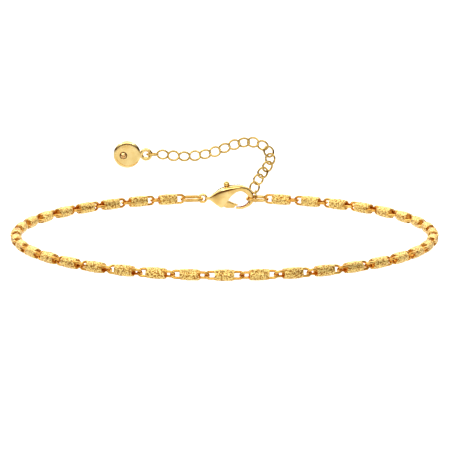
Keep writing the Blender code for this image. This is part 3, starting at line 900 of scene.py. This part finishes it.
def disc_grid(around=144):
    """Profile swept round Y: x = r cos t, z = r sin t, with the depth unchanged."""
    r, y = tag_profile()
    t = np.linspace(0, 2 * math.pi, around, endpoint=False)
    deep = np.repeat(y[:, None], around, axis=1)
    return np.stack([r[:, None] * np.cos(t), deep, r[:, None] * np.sin(t)], axis=2) + TAG_CENTRE


def tag_eye_grid(rows=56, sides=20):
    """A ring about Y: radius = middle + half width cos s, depth = half depth sin s."""
    s = np.linspace(0, 2 * math.pi, sides, endpoint=False)
    u = np.linspace(0, 2 * math.pi, rows, endpoint=False)
    middle = (TAG_EYE_RADIUS + TAG_EYE_HOLE) / 2
    ring = middle + (TAG_EYE_RADIUS - TAG_EYE_HOLE) / 2 * np.cos(s)
    x = np.cos(u)[:, None] * ring[None]
    z = np.sin(u)[:, None] * ring[None]
    depth = np.repeat(EYE_WIRE_HALF * np.sin(s)[None], rows, axis=0)
    return np.stack([x, depth, z], axis=2) + EYE_CENTRE


def make_tag():
    grids = [(press_face(disc_grid()), False, True, 0), (tag_eye_grid(), True, True, 0)]
    disc = build("round_tag", grids, [TAG_GOLD], sharp=38)
    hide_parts("tag")
    return disc


tag = make_tag()
print("tag faces:", len(tag.data.polygons))


# %% The stone, cut with a table and two rows of facets
STONE_ROWS = [
    (0.0, 0.2), (0.75, 0.2), (0.98, -0.02), (0.98, -0.06), (0.8, -0.14), (0.52, -0.2), (0.0, -0.2),
]
STONE_SUNK = 0.22 * MM


def make_stone(sides=8):
    """One ring of points for each row's radius and depth, every other row turned half a facet."""
    grids = []
    for index, (share, depth) in enumerate(STONE_ROWS):
        t = 2 * math.pi * (np.arange(sides) + 0.5 * (index % 2)) / sides
        r = STONE_RADIUS * share
        grids.append(np.stack([r * np.cos(t), np.full(sides, depth * MM), r * np.sin(t)], axis=1))
    middle = STONE_PLACE.copy()
    middle[1] = corner_of("tag_stone", 0)[1] + STONE_SUNK
    stone_grid = np.stack(grids) + middle
    piece = build("cut_stone", [(stone_grid, False, True, 0)], [STONE], sharp=1)
    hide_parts("tag_stone")
    return piece


stone = make_stone()
print("stone faces:", len(stone.data.polygons))

# %% [markdown]
# ## Floor and light
#
# The anklet is held up as an ankle would hold it, so the pale floor lies well below it and takes
# only a very soft shadow. Gold needs something dark to reflect as well as something bright, so the
# room is white at eye level, greyer overhead, and falls off to a dark brown near the ground. It
# also dims towards the right. Three soft lamps light the floor and the metal.

# %% The floor
FLOOR_DROP = 90 * MM
FLOOR_HALF = 4.0


def make_floor():
    mesh = bpy.data.meshes.new("floor")
    edge = FLOOR_HALF * np.array([(-1, -1, 0), (1, -1, 0), (1, 1, 0), (-1, 1, 0)])
    edge[:, 2] = -FLOOR_DROP
    mesh.from_pydata(edge.tolist(), [], [(0, 1, 2, 3)])
    shader = Shader("pale_floor")
    mesh.materials.append(shader.principled(Base_Color=(0.8, 0.8, 0.8, 1), Roughness=0.9))
    obj = bpy.data.objects.new("floor", mesh)
    bpy.context.scene.collection.objects.link(obj)


make_floor()


# %% The room's light
SKY = [
    (0.0, (0.09, 0.035, 0.012)), (0.23, (0.13, 0.055, 0.02)), (0.33, (0.78, 0.77, 0.74)),
    (0.5, (1.0, 1.0, 1.0)), (0.75, (0.85, 0.85, 0.85)), (1.0, (0.5, 0.5, 0.5)),
]
DIM_START = 0.3
DIM_END = 0.95
DIM_LEAST = 0.15


def make_room():
    """Sky colour by height, dark near the ground and brightest halfway up, dimmed to the right."""
    world = bpy.data.worlds.new("studio")
    bpy.context.scene.world = world
    world.use_nodes = True
    tree = world.node_tree
    background = tree.nodes["Background"]
    where = tree.nodes.new("ShaderNodeTexCoord")
    split = tree.nodes.new("ShaderNodeSeparateXYZ")
    ramp = tree.nodes.new("ShaderNodeValToRGB")
    tree.links.new(where.outputs["Generated"], split.inputs[0])
    tree.links.new(split.outputs["Z"], ramp.inputs[0])
    shade = tree.nodes.new("ShaderNodeMapRange")
    for socket, value in zip(shade.inputs[1:5], (DIM_START, DIM_END, 1.0, DIM_LEAST)):
        socket.default_value = value
    dimmed = tree.nodes.new("ShaderNodeVectorMath")
    dimmed.operation = "SCALE"
    tree.links.new(split.outputs["X"], shade.inputs[0])
    tree.links.new(ramp.outputs[0], dimmed.inputs[0])
    tree.links.new(shade.outputs[0], dimmed.inputs["Scale"])
    tree.links.new(dimmed.outputs[0], background.inputs[0])
    stops = ramp.color_ramp.elements
    for position, colour in SKY[1:-1]:
        stops.new(position)
    for stop, (position, colour) in zip(stops, SKY):
        stop.position = position
        stop.color = (*colour, 1)
    background.inputs[1].default_value = 1.0


def make_softbox(name, place, aim, size, brightness):
    """A flat lamp whose power is its brightness times pi times its area."""
    data = bpy.data.lights.new(name, "AREA")
    data.shape = "RECTANGLE"
    data.size, data.size_y = size
    data.energy = brightness * math.pi * size[0] * size[1]
    obj = bpy.data.objects.new(name, data)
    bpy.context.scene.collection.objects.link(obj)
    x, y, z = np.array(aim, float) - np.array(place, float)
    obj.location = place
    obj.rotation_euler = (math.atan2(math.hypot(x, y), -z), 0, math.atan2(y, x) - math.pi / 2)


make_room()
make_softbox("background", (0.0, 0.7, 0.3), (0.0, 0.701, 0.0), (2.4, 1.2), 1.6)
make_softbox("front", (0.0, -0.7, 0.42), (0, -0.55, -0.09), (0.9, 0.35), 3.0)
make_softbox("key", (-0.45, -0.45, 0.55), (0, 0, 0), (0.16, 0.16), 7.0)
